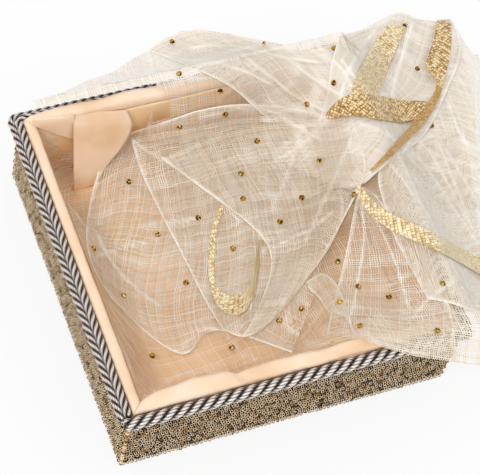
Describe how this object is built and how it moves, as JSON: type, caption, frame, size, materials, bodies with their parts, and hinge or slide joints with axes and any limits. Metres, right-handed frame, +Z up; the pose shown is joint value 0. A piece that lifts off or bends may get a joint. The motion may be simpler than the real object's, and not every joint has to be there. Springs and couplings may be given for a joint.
{
  "type": "hamper_box",
  "caption": "Square gift hamper tray with beaded cloth walls, twisted cords at the rim, padded satin lining and a loose gold-trimmed net cover",
  "frame": {"origin": "middle of the tray's flat underside, on the surface it stands on", "axes": "+Z up, +X to the right along the front wall, +Y from the front wall to the back wall"},
  "size_m": [0.4126, 0.3733, 0.0806],
  "materials": {
    "board": "matte board",
    "base_paper": "matte lining paper",
    "satin": "peach satin",
    "beaded_cloth": "cloth covered with champagne glass seed beads",
    "corner_beads": "champagne glass beads, opaque",
    "silver_cord": "silver-grey twisted cord",
    "net": "ivory see-through net",
    "gold_lace": "metallic gold lace ribbon"
  },
  "bodies": {
    "tray": {"base_paper": "base_paper", "base_board": "board", "wall_front": "board", "wall_back": "board", "wall_left": "board", "wall_right": "board", "lining_front": "satin", "lining_back": "satin", "lining_left": "satin", "lining_right": "satin", "beaded_cover": "beaded_cloth", "corner_bead_row": "corner_beads", "cord_front": "silver_cord", "cord_inner": "silver_cord", "cord_outer": "silver_cord", "rim_roll_front": "satin", "rim_roll_back": "satin", "rim_roll_left": "satin", "rim_roll_right": "satin", "floor_pad": "satin", "satin_flap": "satin"},
    "net": {"net_cover": "net", "lace_band_upper": "gold_lace", "lace_band_back": "gold_lace", "lace_band_right": "gold_lace", "lace_band_loop": "gold_lace"}
  },
  "joints": [
    {"name": "net_lift", "type": "slide", "parent": "tray", "child": "net", "axis": [0, 0, 1], "range_m": [0, 0.3]}
  ]
}
